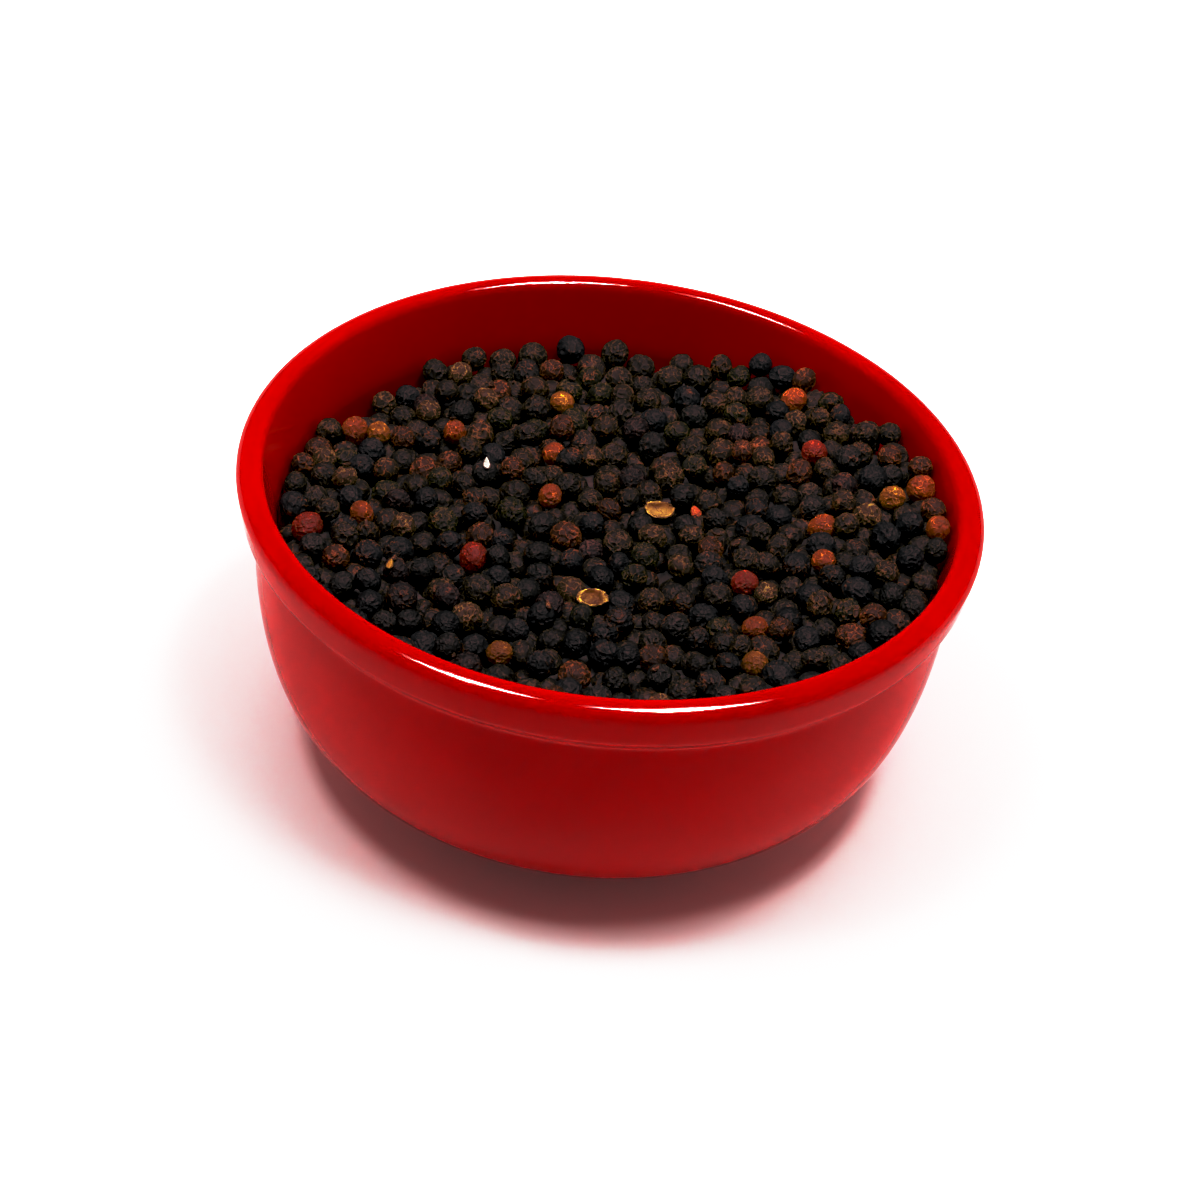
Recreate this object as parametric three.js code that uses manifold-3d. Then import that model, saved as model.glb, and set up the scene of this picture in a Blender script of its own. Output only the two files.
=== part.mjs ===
// A red glazed ceramic bowl filled with black peppercorns.
// Millimetres, +Z up. The origin is the centre of the bowl's foot, on the surface it stands on.
import * as THREE from "three";
import { mergeVertices } from "three/addons/utils/BufferGeometryUtils.js";
import Module from "manifold-3d";

const wasm = await Module();
wasm.setup();

// The bowl's outside.
const RIM_RADIUS = 60;
const BOWL_HEIGHT = 52.5;
const LIP_ROUND = 2.25; // the lip is a half round as wide as the wall
const BAND_DEPTH = 6.7; // the upright band under the lip
const BAND_FOOT_RADIUS = 59.2;
const LEDGE_DROP = 3.4; // the soft step from the band in to the body
const BODY_RADIUS = 56.6;
const BODY_OUT_POWER = 0.784; // the body is a superellipse, fuller than a round
const BODY_DOWN_POWER = 0.818;
const FOOT_RADIUS = 35;
const FOOT_HEIGHT = 4;
const FOOT_RING_WIDTH = 4.2;
const FOOT_ROUND = 0.7;
const RECESS_HEIGHT = 2.2; // the base inside the foot ring is raised by this

// The bowl's inside: a straight taper above, a rounded well below.
const TAPER_FOOT_RADIUS = 53;
const TAPER_FOOT_HEIGHT = 41;
const WELL_FLOOR_RADIUS = 20;
const WELL_FLOOR_HEIGHT = 8.5;
const WELL_OUT_POWER = 0.8;
const WELL_DOWN_POWER = 0.82;

const BOWL_TURNS = 48; // sides round the bowl
const LIP_STEPS = 8;
const LEDGE_STEPS = 4;
const BODY_STEPS = 8;
const WELL_STEPS = 4;

// The heap's surface: low on the left and at the back, higher on the right, with two dips.
const LOW_LEVEL = 43.8;
const MOUND_RISE = 5.9;
const MOUND_FROM_X = 6;
const MOUND_TO_X = 40;
const DIPS = [
  { x: -41.5, y: 31, depth: 2.8, reach: 12 },
  { x: 42.5, y: 35.5, depth: 4, reach: 9 },
];

// Peppercorns, and how they come to rest on each other.
const LEAST_GRAIN_RADIUS = 1.85;
const GRAIN_RADIUS_RANGE = 0.8;
const GRAIN_SEED = 21;
const BED_DEPTH = 10.5; // loose grains lie over a bed this far under the surface
const WALL_CLEARANCE = 0.35;
const DROP_STARTS = 12; // places tried for each grain, the lowest of which it falls from
const FIRST_STEP = 1.2;
const LAST_STEP = 0.03;
const MOST_REFUSALS = 500; // grains in a row that find no room before the bowl is full
const LEAST_STAND = -0.3; // how far over the surface a grain may stand
const MOST_STAND = 1.2;
const CELL = 5.4; // the widest grain and a little more
const DIAGONAL = 0.7071;
const COMPASS = [
  [1, 0],
  [DIAGONAL, DIAGONAL],
  [0, 1],
  [-DIAGONAL, DIAGONAL],
  [-1, 0],
  [-DIAGONAL, -DIAGONAL],
  [0, -1],
  [DIAGONAL, -DIAGONAL],
];

// The solid heap: a core that fills the bowl, and the grains that stand out of it.
const HEAP_GAP = 0.3; // between the heap and the bowl
const CORE_GAP = 0.5; // the core stays inside the grains that touch the wall
const CORE_UNDER_LEVEL = 2.4;
const CORE_TURNS = 24;
const CORE_RINGS = 3;
const SHOWN_GRAINS = 285; // those that stand highest out of the core
const GRAIN_FLATTEST = 0.9;

// Finishes.
const GLAZE = { color: 0xa80509, roughness: 0.12, metalness: 0 };
const PEPPER = { color: 0x2a1c14, roughness: 0.75, metalness: 0 };

const smoothstep = (t) => {
  const k = Math.min(1, Math.max(0, t));
  return k * k * (3 - 2 * k);
};

// Mulberry32: the same row of draws from 0 to 1 for the same seed.
function seededDraws(seed) {
  let state = seed;
  return () => {
    state = (state + 0x6d2b79f5) | 0;
    let mixed = Math.imul(state ^ (state >>> 15), 1 | state);
    mixed = (mixed + Math.imul(mixed ^ (mixed >>> 7), 61 | mixed)) ^ mixed;
    return ((mixed ^ (mixed >>> 14)) >>> 0) / 4294967296;
  };
}

// A row of [radius, height] points of a superellipse quarter, from its lowest point up to its widest.
function quarterCurve(low, wide, outPower, downPower, steps) {
  return Array.from({ length: steps + 1 }, (_, step) => {
    const turn = (Math.PI / 2) * (1 - step / steps);
    return [
      low[0] + (wide[0] - low[0]) * Math.cos(turn) ** outPower,
      wide[1] + (low[1] - wide[1]) * Math.sin(turn) ** downPower,
    ];
  });
}

// The outside from the axis under the base up to the start of the lip.
function outsideProfile() {
  const bandFoot = BOWL_HEIGHT - BAND_DEPTH;
  const ledgeFoot = bandFoot - LEDGE_DROP;
  const ringInside = FOOT_RADIUS - FOOT_RING_WIDTH;
  const body = quarterCurve(
    [FOOT_RADIUS, FOOT_HEIGHT],
    [BODY_RADIUS, bandFoot],
    BODY_OUT_POWER,
    BODY_DOWN_POWER,
    BODY_STEPS,
  ).filter(([, height]) => height < ledgeFoot);
  const ledge = Array.from({ length: LEDGE_STEPS + 1 }, (_, step) => {
    const out = (1 - Math.cos((Math.PI * step) / LEDGE_STEPS)) / 2;
    return [
      BODY_RADIUS + (BAND_FOOT_RADIUS - BODY_RADIUS) * out,
      ledgeFoot + (LEDGE_DROP * step) / LEDGE_STEPS,
    ];
  });
  return [
    [0, RECESS_HEIGHT],
    [ringInside - FOOT_ROUND, RECESS_HEIGHT],
    [ringInside, FOOT_ROUND],
    [ringInside + FOOT_ROUND, 0],
    [FOOT_RADIUS - FOOT_ROUND, 0],
    [FOOT_RADIUS, FOOT_ROUND],
    ...body,
    ...ledge,
  ];
}

// The half round over the wall, from the outside over to the inside.
function lipProfile() {
  const centre = [RIM_RADIUS - LIP_ROUND, BOWL_HEIGHT - LIP_ROUND];
  return Array.from({ length: LIP_STEPS + 1 }, (_, step) => {
    const turn = (Math.PI * step) / LIP_STEPS;
    return [
      centre[0] + LIP_ROUND * Math.cos(turn),
      centre[1] + LIP_ROUND * Math.sin(turn),
    ];
  });
}

// The inside from the axis on the well's floor up to the taper's foot, moved in by a gap.
function wellProfile(gap) {
  const curve = quarterCurve(
    [WELL_FLOOR_RADIUS, WELL_FLOOR_HEIGHT + gap],
    [TAPER_FOOT_RADIUS - gap, TAPER_FOOT_HEIGHT],
    WELL_OUT_POWER,
    WELL_DOWN_POWER,
    WELL_STEPS,
  );
  return [[0, WELL_FLOOR_HEIGHT + gap], ...curve];
}

const TAPER_SLOPE =
  (RIM_RADIUS - 2 * LIP_ROUND - TAPER_FOOT_RADIUS) /
  (BOWL_HEIGHT - LIP_ROUND - TAPER_FOOT_HEIGHT);

// The inside's radius at a height at or above the loose grains.
const insideRadius = (height) =>
  TAPER_FOOT_RADIUS + TAPER_SLOPE * Math.max(0, height - TAPER_FOOT_HEIGHT);

// A closed solid turned about Z from [radius, height] points that start and end on the axis.
function turned(profile, sides) {
  const points = profile.map(([radius, height]) => new THREE.Vector2(radius, height));
  return new THREE.LatheGeometry(points, sides).rotateX(Math.PI / 2);
}

function heapLevel(x, y) {
  const rise = smoothstep((x - MOUND_FROM_X) / (MOUND_TO_X - MOUND_FROM_X));
  let level = LOW_LEVEL + MOUND_RISE * rise;
  for (const dip of DIPS) {
    const away = (x - dip.x) * (x - dip.x) + (y - dip.y) * (y - dip.y);
    level -= dip.depth * smoothstep(1 - away / (dip.reach * dip.reach));
  }
  return level;
}

// Grains laid down so far, found by the square of the floor plan that each lies in.
class GrainBed {
  constructor() {
    this.grains = [];
    this.cells = new Map();
  }

  add(grain) {
    const key = Math.floor(grain.x / CELL) + "," + Math.floor(grain.y / CELL);
    if (!this.cells.has(key)) this.cells.set(key, []);
    this.cells.get(key).push(grain);
    this.grains.push(grain);
  }

  // Where a grain's centre comes when it is let down at x, y: onto the bed, the wall or other grains.
  letDown(x, y, radius) {
    const level = heapLevel(x, y);
    const overTaper = Math.sqrt(x * x + y * y) + radius + WALL_CLEARANCE - TAPER_FOOT_RADIUS;
    let z = level - BED_DEPTH + radius;
    if (overTaper > 0) z = Math.max(z, TAPER_FOOT_HEIGHT + overTaper / TAPER_SLOPE);
    const column = Math.floor(x / CELL);
    const row = Math.floor(y / CELL);
    for (let i = column - 1; i <= column + 1; i++) {
      for (let j = row - 1; j <= row + 1; j++) {
        for (const other of this.cells.get(i + "," + j) ?? []) {
          const dx = x - other.x;
          const dy = y - other.y;
          const reach = radius + other.radius;
          const rise = reach * reach - dx * dx - dy * dy;
          if (rise > 0) z = Math.max(z, other.z + Math.sqrt(rise));
        }
      }
    }
    return { x, y, z, radius, over: z - level };
  }

  // Rolls a grain from where it was let down until it lies in a hollow. Rough grains hold a gentle
  // slope, so what counts as down is the height over the heap's surface.
  settle(start) {
    let grain = start;
    let step = FIRST_STEP;
    while (step > LAST_STEP) {
      let lowest = grain;
      for (const [east, north] of COMPASS) {
        const tried = this.letDown(grain.x + east * step, grain.y + north * step, grain.radius);
        if (tried.over < lowest.over) lowest = tried;
      }
      if (lowest === grain) step /= 2;
      grain = lowest;
    }
    return grain;
  }
}

// Lets peppercorns fall into the bowl one by one until no more find room under the surface.
function pouredGrains() {
  const draw = seededDraws(GRAIN_SEED);
  const bed = new GrainBed();
  const reach = insideRadius(LOW_LEVEL);
  let refusals = 0;
  while (refusals < MOST_REFUSALS) {
    const radius = LEAST_GRAIN_RADIUS + (GRAIN_RADIUS_RANGE * (draw() + draw())) / 2;
    const stand = LEAST_STAND + (MOST_STAND - LEAST_STAND) * draw();
    let start = null;
    for (let tried = 0; tried < DROP_STARTS; ) {
      const x = (2 * draw() - 1) * reach;
      const y = (2 * draw() - 1) * reach;
      if (x * x + y * y > reach * reach) continue;
      tried += 1;
      const place = bed.letDown(x, y, radius);
      if (start === null || place.over < start.over) start = place;
    }
    const grain = bed.settle(start);
    if (grain.over + radius > stand) {
      refusals += 1;
    } else {
      refusals = 0;
      bed.add(grain);
    }
  }
  return bed.grains;
}

// A manifold solid of a closed geometry.
function solidOf(geometry) {
  geometry.deleteAttribute("normal");
  geometry.deleteAttribute("uv");
  const merged = mergeVertices(geometry);
  return new wasm.Manifold(
    new wasm.Mesh({
      numProp: 3,
      vertProperties: merged.getAttribute("position").array,
      triVerts: new Uint32Array(merged.index.array),
    }),
  );
}

function geometryOf(solid) {
  const mesh = solid.getMesh();
  return new THREE.BufferGeometry()
    .setAttribute("position", new THREE.BufferAttribute(mesh.vertProperties, mesh.numProp))
    .setIndex(new THREE.BufferAttribute(mesh.triVerts, 1));
}

// The core: the well's form below, and the heap's surface, a little lower, on top.
function coreSolid() {
  const well = wellProfile(CORE_GAP);
  const edge = TAPER_FOOT_RADIUS - CORE_GAP;
  const rings = Array.from({ length: CORE_RINGS }, (_, ring) => [
    edge * (1 - (ring + 1) / CORE_RINGS),
    LOW_LEVEL,
  ]);
  const geometry = turned([...well.slice(0, -1), [edge, LOW_LEVEL], ...rings], CORE_TURNS);
  const position = geometry.getAttribute("position");
  for (let i = 0; i < position.count; i++) {
    if (position.getZ(i) <= TAPER_FOOT_HEIGHT) continue;
    position.setZ(i, heapLevel(position.getX(i), position.getY(i)) - CORE_UNDER_LEVEL);
  }
  return solidOf(geometry);
}

// One peppercorn: a few-sided round, a little flattened and turned at random.
function grainSolid(grain, draw) {
  const angle = () => 2 * Math.PI * draw();
  const turn = new THREE.Euler(angle(), angle(), angle());
  const flat = GRAIN_FLATTEST + (1 - GRAIN_FLATTEST) * draw();
  const geometry = new THREE.IcosahedronGeometry(grain.radius, 0)
    .scale(1, 1, flat)
    .applyQuaternion(new THREE.Quaternion().setFromEuler(turn))
    .translate(grain.x, grain.y, grain.z);
  return solidOf(geometry);
}

// The heap: core and grains fused, kept a gap clear of the bowl's wall.
function heapGeometry(grains) {
  const draw = seededDraws(GRAIN_SEED + 1);
  const stand = (grain) => grain.over + grain.radius;
  const shown = grains.sort((a, b) => stand(b) - stand(a)).slice(0, SHOWN_GRAINS);
  const mouth = [insideRadius(BOWL_HEIGHT) - HEAP_GAP, BOWL_HEIGHT];
  const room = solidOf(turned([...wellProfile(HEAP_GAP), mouth, [0, BOWL_HEIGHT]], BOWL_TURNS));
  let heap = coreSolid();
  for (const grain of shown) heap = heap.add(grainSolid(grain, draw));
  const bodies = heap.intersect(room).decompose();
  const largest = bodies.reduce((a, b) => (a.volume() > b.volume() ? a : b));
  return geometryOf(largest);
}

function namedMesh(name, geometry, finish) {
  const mesh = new THREE.Mesh(geometry, new THREE.MeshStandardMaterial(finish));
  mesh.name = name;
  return mesh;
}

const bowlProfile = [...outsideProfile(), ...lipProfile(), ...wellProfile(0).reverse()];

const bowlOfPeppercorns = new THREE.Group();
bowlOfPeppercorns.add(
  namedMesh("bowl", turned(bowlProfile, BOWL_TURNS), GLAZE),
  namedMesh("peppercorns", heapGeometry(pouredGrains()), PEPPER),
);

export default bowlOfPeppercorns;
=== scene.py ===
# A small red glazed bowl filled with black peppercorns, on a pale floor under soft light.
# Laid out as an add-on: one operator for each piece or group of like pieces, and one for the stage.
# Lengths are metres, except where a name ends in _MM.
import functools
import math

import bpy
import numpy as np
from bpy.props import FloatProperty, FloatVectorProperty, IntProperty, PointerProperty
from mathutils import Matrix, Vector


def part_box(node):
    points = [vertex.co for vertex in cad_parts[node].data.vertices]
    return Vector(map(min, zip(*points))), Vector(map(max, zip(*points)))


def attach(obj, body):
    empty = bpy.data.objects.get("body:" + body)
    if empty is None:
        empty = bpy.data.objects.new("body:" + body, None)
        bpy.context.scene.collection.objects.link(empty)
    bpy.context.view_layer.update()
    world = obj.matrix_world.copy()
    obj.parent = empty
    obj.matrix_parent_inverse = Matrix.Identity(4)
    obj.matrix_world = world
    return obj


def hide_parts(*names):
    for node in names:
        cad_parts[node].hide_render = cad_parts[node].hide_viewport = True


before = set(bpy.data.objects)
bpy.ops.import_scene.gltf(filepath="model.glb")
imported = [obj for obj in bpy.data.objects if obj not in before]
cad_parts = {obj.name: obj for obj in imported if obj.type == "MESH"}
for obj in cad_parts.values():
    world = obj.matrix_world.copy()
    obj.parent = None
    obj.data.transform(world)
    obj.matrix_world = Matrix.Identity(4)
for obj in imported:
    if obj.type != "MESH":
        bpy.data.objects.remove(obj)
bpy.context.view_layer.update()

bl_info = {
    "name": "Bowl of Black Peppercorns",
    "version": (1, 0, 0),
    "blender": (4, 5, 0),
    "location": "3D View > Sidebar > Peppercorns",
    "description": "Models a red glazed bowl of black peppercorns around its packed solids",
    "category": "Add Mesh",
}

_, BOWL_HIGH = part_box("bowl")
MM = 0.001
BODY = "root"

# The bowl, from its lip down.
RIM_RADIUS = BOWL_HIGH.x
BOWL_HEIGHT = BOWL_HIGH.z
LIP_WIDTH = 4.5 * MM
LIP_CREST_IN = 2.8 * MM  # the lip's highest line lies this far in from its outer edge
LIP_DEPTH = 2.25 * MM
BAND_DEPTH = 6.7 * MM
BAND_FOOT_RADIUS = 59.2 * MM
LEDGE_DROP = 3.4 * MM
LEDGE_STEPS = 12
BODY_RADIUS = 56.6 * MM
BODY_OUT_POWER = 0.784  # the body is a superellipse, fuller than a round
BODY_DOWN_POWER = 0.818
FOOT_RADIUS = 35 * MM
FOOT_HEIGHT = 4 * MM
FOOT_RING_WIDTH = 4.2 * MM
FOOT_ROUND = 0.7 * MM
RECESS_HEIGHT = 2.2 * MM
TAPER_FOOT_RADIUS = 53 * MM
TAPER_FOOT_HEIGHT = 41 * MM
WELL_FLOOR_RADIUS = 20 * MM
WELL_FLOOR_HEIGHT = 8.5 * MM
WELL_OUT_POWER = 0.8
WELL_DOWN_POWER = 0.82
PROFILE_STEP = 0.4 * MM
SOFTENINGS = 3
MERGE_REACH = 0.01 * MM
WOBBLE = 0.05 * MM  # how far a thrown and dipped bowl is from a true round
WOBBLE_LOBES = (
    # share, lobes round the bowl, turn
    (0.5, 2, 0.6),
    (0.3, 3, 2.1),
    (0.2, 5, 0.0),
)
BARE_CLAY = (0.45 * MM, 0.63 * MM)  # the foot ring is bare up to here, and glazed from here on

# The body under the loose grains: near black, the peppercorns' own dark and painted shade of the deep gaps
# between them.
CORE_GAP = 0.5 * MM  # between it and the bowl
CORE_EDGE_HEIGHT = 33 * MM
CORE_STEP = 1.5 * MM
CORE_SIDES = 96
CORE_RINGS = 40
CORE_BUMP = 0.7 * MM
CORE_WAVES = 8
CORE_TOP_REACH = 0.01 * MM  # its top is what lies this near to its highest line
CORE_EDGE_REACH = 0.1 * MM  # and this far in from its edge
GRAIN_PITCH = 4.5 * MM

# The heap's surface, in millimetres: low on the left and at the back, higher on the right, two dips.
LOW_LEVEL_MM = 43.8
MOUND_RISE_MM = 5.9
MOUND_FROM_X_MM = 6
MOUND_TO_X_MM = 40
DIPS_MM = (
    # x, y, depth, reach
    (-41.5, 31, 2.8, 12),
    (42.5, 35.5, 4, 9),
)

# Pouring, in millimetres, as in the solid heap, so that the grains lie where its grains do.
LEAST_GRAIN_RADIUS_MM = 1.85
GRAIN_RADIUS_RANGE_MM = 0.8
GRAIN_SEED = 21
BED_DEPTH_MM = 10.5
WALL_CLEARANCE_MM = 0.35
INSIDE_FOOT_RADIUS_MM = 53
INSIDE_FOOT_HEIGHT_MM = 41
LIP_RADIUS_MM = 2.25
INSIDE_RIM_RADIUS_MM = 60 - 2 * LIP_RADIUS_MM
INSIDE_RIM_HEIGHT_MM = 52.5 - LIP_RADIUS_MM
DROP_STARTS = 12
FIRST_STEP_MM = 1.2
LAST_STEP_MM = 0.03
MOST_REFUSALS = 500
LEAST_STAND_MM = -0.3
MOST_STAND_MM = 1.2
CELL_MM = 5.4
DIAGONAL = 0.7071
COMPASS = (
    (1, 0),
    (DIAGONAL, DIAGONAL),
    (0, 1),
    (-DIAGONAL, DIAGONAL),
    (-1, 0),
    (-DIAGONAL, -DIAGONAL),
    (0, -1),
    (DIAGONAL, -DIAGONAL),
)
TAPER_SLOPE = (INSIDE_RIM_RADIUS_MM - INSIDE_FOOT_RADIUS_MM) / (
    INSIDE_RIM_HEIGHT_MM - INSIDE_FOOT_HEIGHT_MM
)

# How finely a grain is meshed, by how far its top stands over the heap's surface.
TOP_STAND_MM = -1.0
DEEPEST_STAND_MM = -5.0
TOP_FACES = 2300
FACES_BY_STAND = ((TOP_STAND_MM, TOP_FACES), (-2.0, 1000), (-3.2, 400), (DEEPEST_STAND_MM, 140))
SWELL = 1.08  # a grain's crests reach this much further than the ball that was poured

# The form of a dried berry, modelled as a ball of radius 1. A pitch says how close waves lie.
BALL_SUBDIVISIONS = 6
WAVE_GAIN = 1.6
BENDS = ((0.14, 4.5), (0.05, 12))  # how far its ridges are bent out of line, and the pitch
NET_CELLS = (40, 60)
NET_WIDTH = 0.16
NET_JITTER = 0.45
FOLD_WAVES = 14
FOLD_PITCHES = (8, 10)
FOLD_WIDTH = 0.20
FOLD_HEIGHT = 0.85
FINE_PITCHES = (18, 22)
FINE_WIDTH = 0.30
FINE_DEPTH = 0.03
WRINKLE_DEPTHS = (0.12, 0.20)
FADE = (0.8, 0.5, 4)  # how deep its wrinkles are from place to place: mean, swing, pitch
FADE_LIMITS = (0.25, 1.1)
LUMP_HEIGHTS = (0.03, 0.07)
LUMP_PITCH = 2.3
SMALL_LUMP = (0.02, 6)
SCAR = (-0.12, 0.0, 0.16)  # where its stalk was: height, how far from the pole, width
SCAR_RIM = (0.03, 0.33, 0.12)
OVAL_LIMITS = ((0.88, 1), (0.84, 1.04))
OUTSIDE_PERCENTILE = 97  # of its points' radii, brought to 1

# A split berry, as shares of the same radius. The second of a pair is how ragged the first is.
SPLIT_SHAPES = 2
CUT = (0.10, 0.12)
HOLLOW_RADIUS = (0.74, 0.1)
HOLLOW_DEPTH = 0.55
LINING_EDGE = 0.12
SPLIT_CREST = 0.6
HUSK_WIDTH = 0.64
SPLIT_LEAN_ASIDE = (-0.2, 0.2)
SPLIT_LEAN_FORWARD = (-0.45, -0.25)
SPLIT_TURN = (-0.3, 0.3)

# Each kind: its share of the grains, how much more of it lies at the back, and its skin's colours in
# the furrows and on the crests; the furrows' near black is partly the skin's own and partly painted shade,
# the crests' lighter colour partly worn skin and partly painted light. No grain is drawn by lot from
# those without a share.
KINDS = {
    "black": (0.23, -0.9, (0.008, 0.009, 0.010), (0.027, 0.029, 0.030)),
    "charcoal": (0.15, -0.5, (0.009, 0.009, 0.008), (0.046, 0.044, 0.033)),
    "dark_brown": (0.15, 0.0, (0.010, 0.008, 0.005), (0.086, 0.071, 0.031)),
    "umber": (0.13, 0.4, (0.013, 0.010, 0.006), (0.140, 0.110, 0.039)),
    "brown": (0.12, 0.7, (0.020, 0.014, 0.006), (0.225, 0.162, 0.046)),
    "olive": (0.09, 0.4, (0.012, 0.012, 0.004), (0.150, 0.146, 0.034)),
    "plum": (0.06, -0.1, (0.013, 0.008, 0.008), (0.104, 0.064, 0.050)),
    "russet": (0.09, 0.7, (0.036, 0.015, 0.005), (0.330, 0.140, 0.030)),
    "tan": (0.03, 0.5, (0.048, 0.034, 0.011), (0.400, 0.310, 0.095)),
    "red": (0.0, 0.0, (0.220, 0.018, 0.005), (0.760, 0.065, 0.013)),
    "orange": (0.0, 0.0, (0.260, 0.070, 0.006), (0.820, 0.340, 0.028)),
    "golden": (0.0, 0.0, (0.260, 0.130, 0.008), (0.820, 0.520, 0.045)),
    "split": (0.0, 0.0, (0.024, 0.015, 0.006), (0.220, 0.160, 0.060)),
    "lower": (0.0, 0.0, (0.013, 0.010, 0.007), (0.095, 0.075, 0.032)),
    "pale_chip": (0.0, 0.0, (0.700, 0.670, 0.600), (0.950, 0.930, 0.880)),
    "orange_chip": (0.0, 0.0, (0.500, 0.120, 0.012), (0.920, 0.380, 0.040)),
    "golden_chip": (0.0, 0.0, (0.480, 0.340, 0.040), (0.920, 0.780, 0.160)),
    "husk_flake": (0.0, 0.0, (0.050, 0.028, 0.010), (0.360, 0.220, 0.080)),
}
RUST = (0.320, 0.135, 0.026)
DUST = (0.230, 0.175, 0.115)
DUST_STRENGTH = 0.4
RUST_STRENGTH = 0.7
BRIGHTEST_SKIN = 0.5  # a kind with a brighter crest shows its inside
HUSK = (0.180, 0.085, 0.024)  # what is left of the dark skin on it
# the opened inside: its colour deep in the hollow is partly the husk's own brown and partly painted shade
LINING_DEEP_AND_SHADED = (0.120, 0.065, 0.012)
LINING_PALE = (0.680, 0.500, 0.140)

# Where one part of a skin passes into the next, from none to all of it.
RUSTY = (0.60, 0.78)
WORN = (0.72, 0.95)
PEELED = (0.45, 0.55)
# the skin's colour from its furrows to its crests: painted shade in the furrows and painted light on the
# crests, over the skin's own darker furrows and worn crests
CRESTED = (0.30, 1.1)
OPENED = (0.05, 0.5)
LINED = (0.3, 1.0)

# The grains get lighter from the front of the heap to its back.
BACK_REACH_MM = 42
BACK_LEAN = 0.25  # the back lies a little to the right
MIDDLE_SHADE = 0.5
SHADE_BY_LOT = 0.48
SHADE_TO_BACK = 0.34
PLACED_LOT = 0.3  # how much the lot counts for a grain put where the picture shows it
SHADE_FLOOR = 0.55  # what a shade of 0 leaves of a skin's colour
SHADE_GAIN = 0.9  # and what a shade of 1 adds to that

# The patterns' scales, about as many to the metre, and the depths of their bumps.
POOL_SCALE = 28.0
RIPPLE_SCALE = 70.0
DULLNESS_SCALE = 180.0
CLAY_SCALE = 2200.0
PATCH_SCALE = 330.0
MOTTLE_SCALE = 800.0
RIDGE_SCALE = 850.0
FINE_SCALE = 3400.0
CORE_SCALE = 700.0
SPECKLE_SCALE = 40.0
RIPPLE_DEPTH = 0.10 * MM
CLAY_DEPTH = 0.03 * MM
RIDGE_DEPTH = 0.12 * MM
MOTTLE_DEPTH = 0.16 * MM
CORE_DEPTH = 0.5 * MM
RIDGE_SHARE = 0.07  # how wide a fine ridge is, as a share of the pattern's range

POOLED = (0.3, 0.7)  # where the glaze passes from pooled to thin
CLAY_DARK = (0.42, 0.33, 0.25)
CLAY_PALE = (0.60, 0.50, 0.40)
# the core's near black: the peppercorns' own dark, made darker still as painted shade of the gaps deep in
# the heap
CORE_SHADE_DARK = (0.006, 0.005, 0.004)
CORE_SHADE_PALE = (0.022, 0.017, 0.011)
FLOOR_SPECKLE = 0.985

# Where the picture shows grains that stand out by their colour, in millimetres.
COLOURED_GRAINS_MM = (
    (-39.2, 18.3, "golden"), (-10.1, 19.5, "orange"), (-9.7, 6.1, "orange"),
    (-20.4, -11.5, "red"), (45.3, 8.9, "golden"), (52.8, 1.0, "orange"),
    (-47.3, -9.1, "red"), (28.6, 37.0, "orange"), (32.4, 20.2, "red"),
    (22.5, -15.1, "red"), (34.6, -9.9, "orange"), (25.2, -34.8, "golden"),
    (24.7, -26.0, "orange"), (-10.1, 32.7, "golden"), (-22.7, 31.2, "tan"),
    (-43.1, 3.6, "tan"), (-39.5, -3.7, "orange"), (-0.9, -19.3, "split"),
    (8.1, 6.3, "split"), (34.5, 1.4, "orange"), (26.2, -16.9, "tan"),
    (-14.0, -36.0, "golden"), (50.1, 13.9, "orange"), (-27.0, 20.9, "orange"),
    (-43.2, 19.4, "orange"), (-32.0, 25.9, "tan"), (-35.2, 17.9, "russet"),
    (-19.9, -27.4, "tan"), (42.6, -23.3, "russet"), (-4.3, -16.4, "tan"),
    (-32.4, -6.6, "tan"), (30.2, 14.8, "russet"), (41.5, 4.5, "tan"),
    (12.5, -9.4, "tan"), (-9.5, 25.4, "russet"), (-6.1, 43.0, "olive"),
    (-27.8, 38.2, "tan"),
)

# Crumbs that stand out in the picture, in millimetres: where, length, width, which way, and kind.
CRUMBS_MM = (
    (-20.7, 9.6, 2.3, 1.2, 1.75, "pale_chip"),
    (14.0, 6.25, 2.6, 1.9, 2.0, "orange_chip"),
    (-33.1, -19.5, 1.8, 1.2, 1.2, "golden_chip"),
    (20.75, -4.0, 2.2, 1.4, 0.4, "husk_flake"),
)
CRUMB_SHAPES = 3
CRUMB_FACES = 400
CRUMB_THICKNESS_MM = 0.5
CRUMB_TAPER = 0.35
CRUMB_CURL = 0.12
CRUMB_CURL_SINK = 0.4
CRUMB_SHADES = (0.3, 0.7)
CRUMB_REST_MM = 0.45  # a crumb's middle lies this far over the grain under it
SLOPE_STEP_MM = 0.5
FLAKES = 30
FLAKE_REACH_MM = 50
FLAKE_LENGTHS_MM = (0.9, 2.3)
FLAKE_WIDTH = 0.55  # as a share of its length

# The stage.
FLOOR_SIZE = 8
FLOOR_DROP = 0.05 * MM
CAMERA_PLACE = Vector((0.29, -489.925, 399.56)) * MM
SENSOR_WIDTH_MM = 36
CLIP = (0.01, 50)  # the nearest and the farthest that the camera sees
LAMP_DISTANCE = 2.0
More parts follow.
